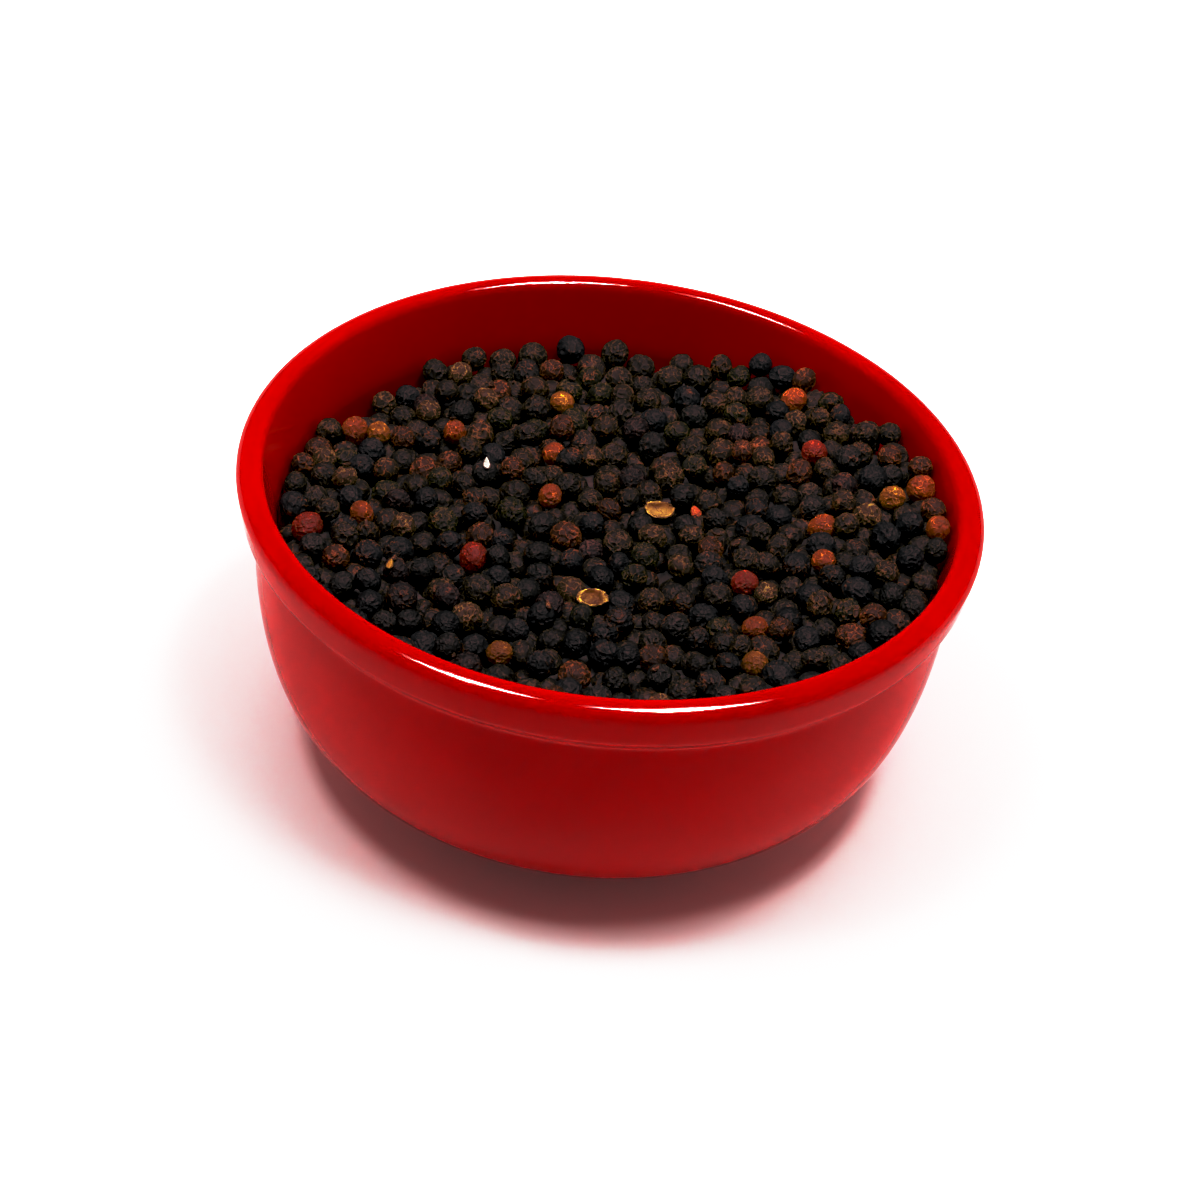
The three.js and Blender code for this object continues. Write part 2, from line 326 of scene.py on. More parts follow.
# Each lamp: how it leans sideways and backward from upright, its width and depth in degrees as the
# bowl sees it, the light that it sheds on the floor, and whether the glaze mirrors it.
LAMPS = {
    "lamp_right": ((0.25, -0.11), (24, 8), 1.50, True),
    "lamp_left": ((-0.33, -0.11), (16, 8), 1.10, True),
    "lamp_over": ((0.0, -0.06), (26, 12), 0.45, False),
}
GLEAM_LEAN = -0.045  # the lamps are mirrored from a little nearer to the viewer
GLEAM_DEPTH = 20  # in degrees
BEHIND = (-0.6, 0.0)  # where the room brightens, from the viewer's side to the sides
LOW_DOWN = (0.10, 0.35)  # where it dims, from low down upwards
BLACK_LEVEL = 0.0075
GREEN, BLUE, ALL_COLOURS = 1, 2, 3  # which of the picture's curves is which
# The points of those curves: all colours together, and then green and blue once more, which leaves the
# shadows reddish.
TONE_CURVE = ((0.05, 0.030), (0.15, 0.095), (0.33, 0.225), (0.50, 0.43), (0.68, 0.77), (0.85, 0.95))
SHADOW_CURVE = (
    (0.015, 0.0145),
    (0.03, 0.026),
    (0.06, 0.040),
    (0.12, 0.062),
    (0.22, 0.115),
    (0.38, 0.27),
    (0.60, 0.58),
    (0.85, 0.86),
)


def smoothstep(value):
    share = min(1, max(0, value))
    return share * share * (3 - 2 * share)


# ---------------------------------------------------------------- materials


class Wire:
    """A shader value that plain arithmetic can be written with."""

    def __init__(self, wiring, socket):
        self.wiring = wiring
        self.socket = socket

    def maths(self, operation, *values):
        return self.wiring.node("ShaderNodeMath", {"operation": operation}, dict(enumerate(values)))

    def __add__(self, other):
        return self.maths("ADD", self, other)

    def __sub__(self, other):
        return self.maths("SUBTRACT", self, other)

    def __rsub__(self, other):
        return self.maths("SUBTRACT", other, self)

    def __mul__(self, other):
        return self.maths("MULTIPLY", self, other)

    __radd__ = __add__


class Wiring:
    """A node tree that nodes are added to."""

    def __init__(self, tree):
        self.tree = tree

    def node(self, kind, settings=None, inputs=None, output=0):
        """Adds a node: its settings first, then its sockets' values or links. Returns one output."""
        made = self.tree.nodes.new(kind)
        for name, value in (settings or {}).items():
            setattr(made, name, value)
        for key, value in (inputs or {}).items():
            if isinstance(key, int):
                socket = made.inputs[key]
            else:
                socket = next(s for s in made.inputs if key in (s.identifier, s.name))
            self.feed(socket, value)
        if isinstance(output, int):
            return Wire(self, made.outputs[output])
        return Wire(self, next(s for s in made.outputs if output in (s.identifier, s.name)))

    def feed(self, socket, value):
        if isinstance(value, Wire):
            self.tree.links.new(value.socket, socket)
        else:
            socket.default_value = value

    def part(self, vector, axis):
        return self.node("ShaderNodeSeparateXYZ", None, {"Vector": vector}, axis)

    def between(self, value, low, high, first=0.0, last=1.0):
        """first where value is under low, last where it is over high, smooth in between."""
        limits = {"From Min": low, "From Max": high, "To Min": first, "To Max": last}
        settings = {"interpolation_type": "SMOOTHSTEP"}
        return self.node("ShaderNodeMapRange", settings, {"Value": value, **limits})


class Recipe(Wiring):
    """A material's node tree, with one Principled shader at its end."""

    def __init__(self, name, **fixed):
        self.material = bpy.data.materials.new(name)
        self.material.use_nodes = True
        super().__init__(self.material.node_tree)
        self.shader = self.tree.nodes["Principled BSDF"]
        self.finish(**fixed)
        self.place = self.node("ShaderNodeTexCoord", None, None, "Object")

    def noise(self, scale, detail=2.0, roughness=0.5):
        inputs = {"Vector": self.place, "Scale": scale, "Detail": detail, "Roughness": roughness}
        return self.node("ShaderNodeTexNoise", None, inputs, "Fac")

    def ridges(self, scale, width):
        """1 on thin crests that wind over the surface, falling to 0 beside them."""
        off = self.noise(scale, 1.0) - 0.5
        return 1 - self.between(off.maths("ABSOLUTE", off), 0.0, width)

    def attribute(self, name):
        return self.node("ShaderNodeAttribute", {"attribute_name": name}, None, "Fac")

    def blend(self, share, first, second):
        """A colour between two colours."""
        inputs = {"Factor_Float": share, "A_Color": coloured(first), "B_Color": coloured(second)}
        return self.node("ShaderNodeMix", {"data_type": "RGBA"}, inputs, "Result_Color")

    def tinted(self, colour, amount):
        """A colour made lighter or darker by a number that varies over the surface."""
        grey = self.node("ShaderNodeCombineXYZ", None, {0: amount, 1: amount, 2: amount})
        return self.node("ShaderNodeVectorMath", {"operation": "MULTIPLY"}, {0: colour, 1: grey})

    def bump(self, height, depth, strength=1.0, under=None):
        inputs = {"Height": height, "Distance": depth, "Strength": strength}
        if under:
            inputs["Normal"] = under
        return self.node("ShaderNodeBump", None, inputs, "Normal")

    def finish(self, **surface):
        """Feeds the shader's sockets, each with a value or with what changes over the surface."""
        for socket, value in surface.items():
            self.feed(self.shader.inputs[socket.replace("_", " ")], value)
        return self.material


def coloured(value):
    return value if isinstance(value, Wire) else (*tuple(value)[:3], 1.0)


def glaze_material(look):
    """Red gloss glaze, pooled a little darker in places, with a bare clay foot ring."""
    glaze = Recipe("red_glaze", Specular_IOR_Level=0.07)
    pooled = glaze.between(glaze.noise(POOL_SCALE, 2.0), *POOLED)
    red = glaze.blend(pooled, look.deep_red, look.red)
    bare = 1 - glaze.between(glaze.part(glaze.place, "Z"), *BARE_CLAY)
    grain = glaze.noise(CLAY_SCALE, 3.0)
    clay = glaze.blend(grain, CLAY_DARK, CLAY_PALE)
    ripple = glaze.bump(glaze.noise(RIPPLE_SCALE, 1.0), RIPPLE_DEPTH, 0.5)
    return glaze.finish(
        Base_Color=glaze.blend(bare, red, clay),
        Roughness=look.gloss + glaze.noise(DULLNESS_SCALE) * 0.03 + bare * 0.6,
        Normal=glaze.bump(grain, CLAY_DEPTH, bare, ripple),
    )


def pepper_material(name, furrow_colour_and_shade, crest_colour_and_light):
    """Wrinkled dried skin: dusty and shiny on its crests, rust in patches; near black in its furrows,
    partly as painted shade, and lighter on its crests, partly as painted light.
    """
    skin = Recipe("pepper_" + name, Specular_IOR_Level=0.04)
    crest = skin.attribute("crest")
    pith = skin.attribute("pith")
    mottle = skin.noise(MOTTLE_SCALE, 3.0, 0.6)
    ridges = skin.ridges(RIDGE_SCALE, RIDGE_SHARE)
    fine = skin.noise(FINE_SCALE, 3.0, 0.65)
    patch = skin.noise(PATCH_SCALE, 2.0)
    rusty = skin.between(patch + skin.attribute("rust") * 0.2, *RUSTY)
    worn = skin.between(mottle + crest * 0.24, *WORN)
    dusty = [(1.6 * c + d) / 2 for c, d in zip(crest_colour_and_light, DUST)]
    rusted = skin.blend(rusty * RUST_STRENGTH, crest_colour_and_light, RUST)
    top = skin.blend(worn * DUST_STRENGTH, rusted, dusty)
    if max(crest_colour_and_light) > BRIGHTEST_SKIN:
        top = skin.blend(skin.between(patch + (mottle - 0.5) * 0.6, *PEELED), HUSK, top)
    # darker in the furrows and lighter on the crests, by the wrinkles' relief: partly the skin's own
    # colour, partly painted shade and painted light
    relief = crest * 0.55 + ridges * 0.6 + (fine - 0.5) * 0.5 + (mottle - 0.5) * 0.5
    bare = skin.blend(skin.between(relief, *CRESTED), furrow_colour_and_shade, top)
    colour = skin.tinted(bare, SHADE_FLOOR + skin.attribute("shade") * SHADE_GAIN)
    # the opened inside: pale at its rim and darker deeper in the hollow, partly as painted shade
    lining = skin.blend(skin.between(pith + (fine - 0.5) * 0.3, *LINED), LINING_DEEP_AND_SHADED, LINING_PALE)
    lumpy = skin.bump(mottle, MOTTLE_DEPTH, 0.6)
    return skin.finish(
        Base_Color=skin.blend(skin.between(pith, *OPENED), colour, lining),
        Roughness=0.74 - crest * 0.28 + (fine - 0.5) * 0.2,
        Normal=skin.bump(ridges + fine * 0.5, RIDGE_DEPTH, 0.7, lumpy),
    )


def core_shade_material():
    """What shows between the lowest grains: near black, darker than any skin, as painted shade of the deep
    gaps over the peppercorns' own dark.
    """
    dark = Recipe("pepper_core_shade", Roughness=0.8, Specular_IOR_Level=0.2)
    mottle = dark.noise(CORE_SCALE, 3.0)
    return dark.finish(
        Base_Color=dark.blend(mottle, CORE_SHADE_DARK, CORE_SHADE_PALE),
        Normal=dark.bump(mottle, CORE_DEPTH, 0.8),
    )


def floor_material(look):
    """A plain pale surface, very slightly uneven in colour."""
    floor = Recipe("pale_floor", Specular_IOR_Level=0.1)
    speckle = floor.noise(SPECKLE_SCALE, 3.0)
    pale = tuple(look.floor_colour)
    return floor.finish(
        Base_Color=floor.blend(speckle, pale, tuple(FLOOR_SPECKLE * c for c in pale)),
        Roughness=0.7 + speckle * 0.1,
    )


# ---------------------------------------------------------------- modelling by hand


def deselect_all():
    if bpy.context.object and bpy.context.object.mode != "OBJECT":
        bpy.ops.object.mode_set(mode="OBJECT")
    bpy.ops.object.select_all(action="DESELECT")


def only(piece):
    """Makes one object the selected and active one."""
    deselect_all()
    piece.select_set(True)
    bpy.context.view_layer.objects.active = piece


def dressed(piece, material, node):
    """Gives a finished piece its material, body and slot, and hides the part of the node it stands for."""
    piece.data.materials.clear()
    piece.data.materials.append(material)
    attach(piece, BODY)
    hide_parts(node)


def read_places(mesh):
    """The places of a mesh's points, one to a row."""
    flat = np.empty(len(mesh.vertices) * 3)
    mesh.vertices.foreach_get("co", flat)
    return flat.reshape(-1, 3)


def write_places(mesh, places):
    mesh.vertices.foreach_set("co", places.ravel())
    mesh.update()


def turned(name, profile, sides):
    """A closed solid of revolution: a point is drawn out along the profile and spun round Z."""
    deselect_all()
    bpy.ops.mesh.primitive_plane_add(size=2 * MM)
    piece = bpy.context.object
    piece.name = piece.data.name = name
    bpy.ops.object.mode_set(mode="EDIT")
    bpy.ops.mesh.merge(type="CENTER")
    bpy.ops.transform.translate(value=(profile[0][0], 0, profile[0][1]))
    for start, end in zip(profile, profile[1:]):
        step = (end[0] - start[0], 0, end[1] - start[1])
        bpy.ops.mesh.extrude_region_move(TRANSFORM_OT_translate={"value": step})
    bpy.ops.mesh.select_all(action="SELECT")
    bpy.ops.mesh.spin(steps=sides, angle=math.tau, center=(0, 0, 0), axis=(0, 0, 1))
    bpy.ops.mesh.select_all(action="SELECT")
    bpy.ops.mesh.remove_doubles(threshold=MERGE_REACH)
    bpy.ops.mesh.normals_make_consistent(inside=False)
    bpy.ops.object.mode_set(mode="OBJECT")
    bpy.ops.object.shade_smooth()
    return piece


def quarter_curve(low, wide, out_power, down_power, steps=64):
    """[radius, height] points of a superellipse quarter, from its lowest point up to its widest."""
    turns = [math.pi / 2 * (1 - step / steps) for step in range(steps + 1)]
    return [
        (
            low[0] + (wide[0] - low[0]) * abs(math.cos(turn)) ** out_power,
            wide[1] + (low[1] - wide[1]) * math.sin(turn) ** down_power,
        )
        for turn in turns
    ]


def lip_curve(steps=24):
    """The rounded lip from its outer foot over its crest to its inner foot."""
    centre = (RIM_RADIUS - LIP_CREST_IN, BOWL_HEIGHT - LIP_DEPTH)
    inward = LIP_WIDTH - LIP_CREST_IN
    points = []
    for step in range(steps + 1):
        turn = math.pi * step / steps
        reach = LIP_CREST_IN if turn < math.pi / 2 else inward
        points.append((centre[0] + reach * math.cos(turn), centre[1] + LIP_DEPTH * math.sin(turn)))
    return points


def well_curve():
    """The bowl's inside from the middle of its floor up to the straight taper's foot."""
    low = (WELL_FLOOR_RADIUS, WELL_FLOOR_HEIGHT)
    wide = (TAPER_FOOT_RADIUS, TAPER_FOOT_HEIGHT)
    return [(0, WELL_FLOOR_HEIGHT), *quarter_curve(low, wide, WELL_OUT_POWER, WELL_DOWN_POWER)]


def bowl_profile():
    """The whole outline: from under the foot, up the outside, over the lip and down the inside."""
    band_foot = BOWL_HEIGHT - BAND_DEPTH
    ledge_foot = band_foot - LEDGE_DROP
    ring_inside = FOOT_RADIUS - FOOT_RING_WIDTH
    base = [
        (0, RECESS_HEIGHT),
        (ring_inside - FOOT_ROUND, RECESS_HEIGHT),
        (ring_inside, FOOT_ROUND),
        (ring_inside + FOOT_ROUND, 0),
        (FOOT_RADIUS - FOOT_ROUND, 0),
        (FOOT_RADIUS, FOOT_ROUND),
    ]
    low = (FOOT_RADIUS, FOOT_HEIGHT)
    wide = (BODY_RADIUS, band_foot)
    body = quarter_curve(low, wide, BODY_OUT_POWER, BODY_DOWN_POWER)
    body = [point for point in body if point[1] < ledge_foot]
    ledge = []
    for step in range(LEDGE_STEPS + 1):
        out = (1 - math.cos(math.pi * step / LEDGE_STEPS)) / 2
        radius = BODY_RADIUS + (BAND_FOOT_RADIUS - BODY_RADIUS) * out
        ledge.append((radius, ledge_foot + LEDGE_DROP * step / LEDGE_STEPS))
    return [*base, *body, *ledge, *lip_curve(), *reversed(well_curve())]


def softened(profile, step, passes):
    """The profile with points a step apart and its corners rounded, as glaze rounds them."""
    line = np.array(profile)
    runs = np.concatenate([[0], np.cumsum(np.linalg.norm(np.diff(line, axis=0), axis=1))])
    stops = np.linspace(0, runs[-1], round(runs[-1] / step) + 1)
    even = np.stack([np.interp(stops, runs, line[:, axis]) for axis in (0, 1)], axis=1)
    for _ in range(passes):
        even[1:-1] = (even[:-2] + 2 * even[1:-1] + even[2:]) / 4
    return even.tolist()


def full_size(profile):
    """The softened profile brought back to the bowl's own radius and height."""
    line = np.array(profile)
    line[:, 0] *= RIM_RADIUS / line[:, 0].max()
    line[:, 1] -= line[:, 1].min()
    line[:, 1] *= BOWL_HEIGHT / line[:, 1].max()
    return line.tolist()


def spaced(line, turn=math.radians(4), reach=3 * MM):
    """The line without the points that it runs almost straight through."""
    kept = [line[0]]
    turned_by = 0
    for before, point, after in zip(line, line[1:], line[2:]):
        into = math.atan2(point[1] - before[1], point[0] - before[0])
        out_of = math.atan2(after[1] - point[1], after[0] - point[0])
        turned_by += abs(math.remainder(out_of - into, math.tau))
        if turned_by > turn or math.dist(kept[-1], after) > reach:
            kept.append(point)
            turned_by = 0
    return [*kept, line[-1]]


def wobbled(piece, amount):
    """Moves the wall in by a little, more in some directions than in others."""
    places = read_places(piece.data)
    angle = np.arctan2(places[:, 1], places[:, 0])
    lobes = sum(share * np.cos(lobe * angle + turn) for share, lobe, turn in WOBBLE_LOBES)
    places[:, :2] *= (1 - amount / RIM_RADIUS * (1 + lobes) / 2)[:, None]
    write_places(piece.data, places)


# ---------------------------------------------------------------- pouring


class Draws:
    """The same row of draws from 0 to 1 for the same seed (mulberry32), in 32-bit whole numbers."""

    STEP = 0x6D2B79F5
    MASK = 0xFFFFFFFF

    def __init__(self, seed):
        self.state = seed

    def __call__(self):
        self.state = (self.state + self.STEP) & self.MASK
        mixed = (self.state ^ (self.state >> 15)) * (1 | self.state) & self.MASK
        mixed = (mixed + ((mixed ^ (mixed >> 7)) * (61 | mixed) & self.MASK) & self.MASK) ^ mixed
        return (mixed ^ (mixed >> 14)) / (self.MASK + 1)


def heap_level(x, y):
    """The height of the heap's surface, in millimetres."""
    rise = smoothstep((x - MOUND_FROM_X_MM) / (MOUND_TO_X_MM - MOUND_FROM_X_MM))
    level = LOW_LEVEL_MM + MOUND_RISE_MM * rise
    for dip_x, dip_y, depth, reach in DIPS_MM:
        away = (x - dip_x) * (x - dip_x) + (y - dip_y) * (y - dip_y)
        level -= depth * smoothstep(1 - away / (reach * reach))
    return level


class GrainBed:
    """Grains laid down so far, as (x, y, z, radius, over), found by the square they lie in."""

    def __init__(self):
        self.grains = []
        self.cells = {}

    def add(self, grain):
        key = (math.floor(grain[0] / CELL_MM), math.floor(grain[1] / CELL_MM))
        self.cells.setdefault(key, []).append(grain)
        self.grains.append(grain)

    def let_down(self, x, y, radius):
        """Where a grain comes when it is let down at x, y: onto the bed, the wall or other grains."""
        level = heap_level(x, y)
        over_taper = math.sqrt(x * x + y * y) + radius + WALL_CLEARANCE_MM - INSIDE_FOOT_RADIUS_MM
        z = level - BED_DEPTH_MM + radius
        if over_taper > 0:
            z = max(z, INSIDE_FOOT_HEIGHT_MM + over_taper / TAPER_SLOPE)
        column = math.floor(x / CELL_MM)
        row = math.floor(y / CELL_MM)
        for i in (column - 1, column, column + 1):
            for j in (row - 1, row, row + 1):
                for ox, oy, oz, other_radius, _ in self.cells.get((i, j), ()):
                    dx = x - ox
                    dy = y - oy
                    reach = radius + other_radius
                    rise = reach * reach - dx * dx - dy * dy
                    if rise > 0:
                        z = max(z, oz + math.sqrt(rise))
        return (x, y, z, radius, z - level)

    def settle(self, grain):
        """Rolls a grain from where it was let down until it lies in a hollow of the surface."""
        step = FIRST_STEP_MM
        while step > LAST_STEP_MM:
            lowest = grain
            for east, north in COMPASS:
                tried = self.let_down(grain[0] + east * step, grain[1] + north * step, grain[3])
                if tried[4] < lowest[4]:
                    lowest = tried
            if lowest is grain:
                step /= 2
            grain = lowest
        return grain


def dropped(bed, draw, radius, reach):
    """The lowest of a few places tried at random, rolled to rest."""
    start = None
    tried = 0
    while tried < DROP_STARTS:
        x = (2 * draw() - 1) * reach
        y = (2 * draw() - 1) * reach
        if x * x + y * y > reach * reach:
            continue
        tried += 1
        place = bed.let_down(x, y, radius)
        if start is None or place[4] < start[4]:
            start = place
    return bed.settle(start)


@functools.cache
def poured_bed():
    """Lets peppercorns fall into the bowl one by one until no more find room."""
    draw = Draws(GRAIN_SEED)
    bed = GrainBed()
    reach = INSIDE_FOOT_RADIUS_MM + TAPER_SLOPE * max(0, LOW_LEVEL_MM - INSIDE_FOOT_HEIGHT_MM)
    refusals = 0
    while refusals < MOST_REFUSALS:
        radius = LEAST_GRAIN_RADIUS_MM + (GRAIN_RADIUS_RANGE_MM * (draw() + draw())) / 2
        stand = LEAST_STAND_MM + (MOST_STAND_MM - LEAST_STAND_MM) * draw()
        grain = dropped(bed, draw, radius, reach)
        if grain[4] + radius > stand:
            refusals += 1
        else:
            refusals = 0
            bed.add(grain)
    return bed


# ---------------------------------------------------------------- peppercorn moulds


def spread_directions(count, random, jitter):
    """Unit vectors spread over a ball, each a little off its even place."""
    index = np.arange(count) + 0.5
    z = 1 - 2 * index / count
    turn = math.pi * (1 + math.sqrt(5)) * index
    flat = np.sqrt(1 - z * z)
    points = np.stack([flat * np.cos(turn), flat * np.sin(turn), z], axis=1)
    points += random.normal(0, jitter, points.shape)
    return points / np.linalg.norm(points, axis=1, keepdims=True)


def waves(points, random, pitch, count=5):
    """A smooth random field over points, from about -1 to 1."""
    total = np.zeros(len(points))
    for _ in range(count):
        way = random.normal(0, 1, 3)
        way *= pitch / np.linalg.norm(way)
        total += np.cos(points @ way + random.uniform(0, math.tau))
    return total / count * WAVE_GAIN


def ridge_net(points, random, cells, width, jitter):
    """1 on the crests between random cells on the ball, falling to 0 in the furrows."""
    seeds = spread_directions(cells, random, jitter)
    near = np.sort(np.arccos(np.clip(points @ seeds.T, -1, 1)), axis=1)
    return falling((near[:, 1] - near[:, 0]) / width)


def folds(points, random, pitch, width):
    """1 on crests that wind over the ball, falling to 0 beside them."""
    return falling(np.abs(waves(points, random, pitch, FOLD_WAVES)) / width)


def falling(off):
    """1 at 0, falling smoothly to 0 at 1."""
    off = np.clip(off, 0, 1)
    return 1 - off * off * (3 - 2 * off)


def vector_waves(points, random, size, pitch):
    """A smooth random shift of each point, up to about size."""
    return size * np.stack([waves(points, random, pitch) for _ in range(3)], axis=1)


def swell(pole, height, place, width):
    """A round rise or dip of the surface at an angle from the pole."""
    return height * np.exp(-(((pole - place) / width) ** 2))


def wrinkled_ball(random, split):
    """A dried berry of radius 1, with its crests and where its pale inside shows as attributes."""
    deselect_all()
    bpy.ops.mesh.primitive_ico_sphere_add(subdivisions=BALL_SUBDIVISIONS, radius=1)
    piece = bpy.context.object
    way = read_places(piece.data)
    way /= np.linalg.norm(way, axis=1, keepdims=True)
    bent = way
    for bend in BENDS:
        bent = bent + vector_waves(way, random, *bend)
    bent /= np.linalg.norm(bent, axis=1, keepdims=True)
    net = ridge_net(bent, random, int(random.integers(*NET_CELLS)), NET_WIDTH, NET_JITTER)
    winding = folds(bent, random, random.uniform(*FOLD_PITCHES), FOLD_WIDTH)
    wrinkles = np.maximum(net, FOLD_HEIGHT * winding)
    fine = folds(bent, random, random.uniform(*FINE_PITCHES), FINE_WIDTH)
    mean, swing, pitch = FADE
    fade = np.clip(mean + swing * waves(way, random, pitch), *FADE_LIMITS)
    depth = random.uniform(*WRINKLE_DEPTHS) * fade
    lumps = random.uniform(*LUMP_HEIGHTS) * waves(way, random, LUMP_PITCH)
    height, pitch = SMALL_LUMP
    lumps = lumps + height * waves(way, random, pitch)
    pole = np.arccos(np.clip(way[:, 2], -1, 1))
    scar = swell(pole, *SCAR) + swell(pole, *SCAR_RIM)
    radius = 1 + lumps - depth * (1 - wrinkles) - FINE_DEPTH * (1 - fine) + scar
    crest = np.clip((0.8 * wrinkles + 0.2 * fine) * (0.4 + 0.6 * fade), 0, 1)
    oval = np.array([1, *(random.uniform(*limits) for limits in OVAL_LIMITS)])
    places = way * radius[:, None] * oval
    pith = np.zeros(len(way))
    if split:
        open_split(places, crest, pith, waves(way, random, pitch=4))
    places /= np.percentile(np.linalg.norm(places, axis=1), OUTSIDE_PERCENTILE)
    write_places(piece.data, places)
    for name, values in (("crest", crest), ("pith", pith)):
        piece.data.attributes.new(name, "FLOAT", "POINT").data.foreach_set("value", values)
    return piece


def open_split(places, crest, pith, ragged):
    """Opens a berry towards +X into a long husk: a pale rim round a deep hollow."""
    cut = CUT[0] + CUT[1] * ragged
    height = places[:, 0] - cut
    ring = np.hypot(places[:, 1], places[:, 2])
    reach = HOLLOW_RADIUS[0] + HOLLOW_RADIUS[1] * ragged
    hollow = np.sqrt(np.clip(1 - (ring / reach) ** 2, 0, 1))
    beyond = height > 0
    places[:, 0] = np.where(beyond, cut - HOLLOW_DEPTH * hollow, places[:, 0])
    # the lining darkens towards the hollow's deepest point: painted shade in the recess, with ragged random
    # tone
    inside = np.clip(1 - 0.6 * hollow + 0.4 * ragged * hollow, 0.3, 1)
    pith[:] = np.where(beyond, inside, 0.6 * np.clip(1 + height / LINING_EDGE, 0, 1))
    crest[beyond] = SPLIT_CREST
    places[:, 1] *= HUSK_WIDTH


def thinned(piece, faces):
    """Brings a berry down to about that many faces and returns its points, faces, crests and pith."""
    only(piece)
    bpy.ops.object.modifier_add(type="DECIMATE")
    piece.modifiers[-1].ratio = faces / len(piece.data.polygons)
    bpy.ops.object.modifier_apply(modifier=piece.modifiers[-1].name)
    mesh = piece.data
    triangles = np.empty(len(mesh.polygons) * 3, np.int32)
    mesh.polygons.foreach_get("vertices", triangles)
    arrays = [read_places(mesh), triangles.reshape(-1, 3)]
    for name in ("crest", "pith"):
        values = np.empty(len(mesh.vertices))
        mesh.attributes[name].data.foreach_get("value", values)
        arrays.append(values)
    return arrays


def moulds(seed, count, sizes, split=False):
    """For each number of faces, from many to few, the same few berries."""
    random = np.random.default_rng(seed)
    made = {faces: [] for faces in sizes}
    for _ in range(count):
        ball = wrinkled_ball(random, split)
        for faces in sizes:
            made[faces].append(thinned(ball, faces))
        mesh = ball.data
        bpy.data.objects.remove(ball)
        bpy.data.meshes.remove(mesh)
    return made


def random_turn(random):
    """A rotation matrix, every way as likely."""
    w, x, y, z = (lambda q: q / np.linalg.norm(q))(random.normal(0, 1, 4))
    return np.array(
        [
            [1 - 2 * (y * y + z * z), 2 * (x * y - z * w), 2 * (x * z + y * w)],
            [2 * (x * y + z * w), 1 - 2 * (x * x + z * z), 2 * (y * z - x * w)],
            [2 * (x * z - y * w), 2 * (y * z + x * w), 1 - 2 * (x * x + y * y)],
        ]
    )


def joined(name, copies):
    """One mesh of many berries, each (points, faces, its attributes by name)."""
    points, faces, layers, start = [], [], {}, 0
    for places, triangles, attributes in copies:
        points.append(places)
        faces.append(triangles + start)
        for label, values in attributes.items():
            layers.setdefault(label, []).append(np.broadcast_to(values, len(places)))
        start += len(places)
    mesh = bpy.data.meshes.new(name)
    mesh.from_pydata(np.concatenate(points).tolist(), [], np.concatenate(faces).tolist())
    for label, values in layers.items():
        layer = mesh.attributes.new(label, "FLOAT", "POINT")
        layer.data.foreach_set("value", np.concatenate(values))
    mesh.shade_smooth()
    piece = bpy.data.objects.new(name, mesh)
    bpy.context.collection.objects.link(piece)
    return piece


def joined_by_kind(prefix, copies):
    """Joins the copies of each kind into one piece with that kind's skin."""
    for kind, group in copies.items():
        piece = joined(prefix + kind, group)
        *_, furrow_colour_and_shade, crest = KINDS[kind]
        dressed(piece, pepper_material(kind, furrow_colour_and_shade, crest), "peppercorns")


def backness(grain):
    """From -1 at the front of the heap to 1 at its back."""
    return min(1, max(-1, (grain[1] + BACK_LEAN * grain[0]) / BACK_REACH_MM))


def kind_of_each(grains, random):
    """The kind of each grain: most by lot, and the coloured ones nearest to where they are seen."""
    names = [name for name, (share, *_) in KINDS.items() if share]
    shares = np.array([KINDS[name][0] for name in names])
    leanings = np.array([KINDS[name][1] for name in names])
    kinds = []
    for grain in grains:
        odds = shares * np.exp(leanings * backness(grain))
        kinds.append(names[random.choice(len(names), p=odds / odds.sum())])
    taken = set()
    for x, y, kind in COLOURED_GRAINS_MM:
        free = [i for i, g in enumerate(grains) if g[4] + g[3] > TOP_STAND_MM and i not in taken]
        nearest = min(free, key=lambda i: math.hypot(grains[i][0] - x, grains[i][1] - y))
        taken.add(nearest)
        kinds[nearest] = kind
    return kinds


# ---------------------------------------------------------------- settings


class BowlLook(bpy.types.PropertyGroup):
    """The glaze's colours and the bowl's fineness."""

    red: FloatVectorProperty(
        name="Red", description="The glaze where it is thin", subtype="COLOR", default=(0.47, 0.001, 0.002)
    )
    deep_red: FloatVectorProperty(
        name="Deep red",
        description="The glaze where it has pooled",
        subtype="COLOR",
        default=(0.42, 0.001, 0.002),
    )
    gloss: FloatProperty(
        name="Roughness", description="How dull the glaze is", subtype="FACTOR", default=0.05, min=0, max=1
    )
    sides: IntProperty(name="Sides", description="Steps round the bowl", default=192, min=24)


class HeapLook(bpy.types.PropertyGroup):
    """How the peppercorns are modelled."""

    shapes: IntProperty(
        name="Shapes", description="How many different berries are modelled", default=14, min=1
    )
    seed: IntProperty(name="Seed", description="Changes how the berries lie and look", default=7)
    core_drop: FloatProperty(
        name="Core drop",
        description="How far the dark core lies under the heap's surface",
        unit="LENGTH",
        default=5.2 * MM,
    )


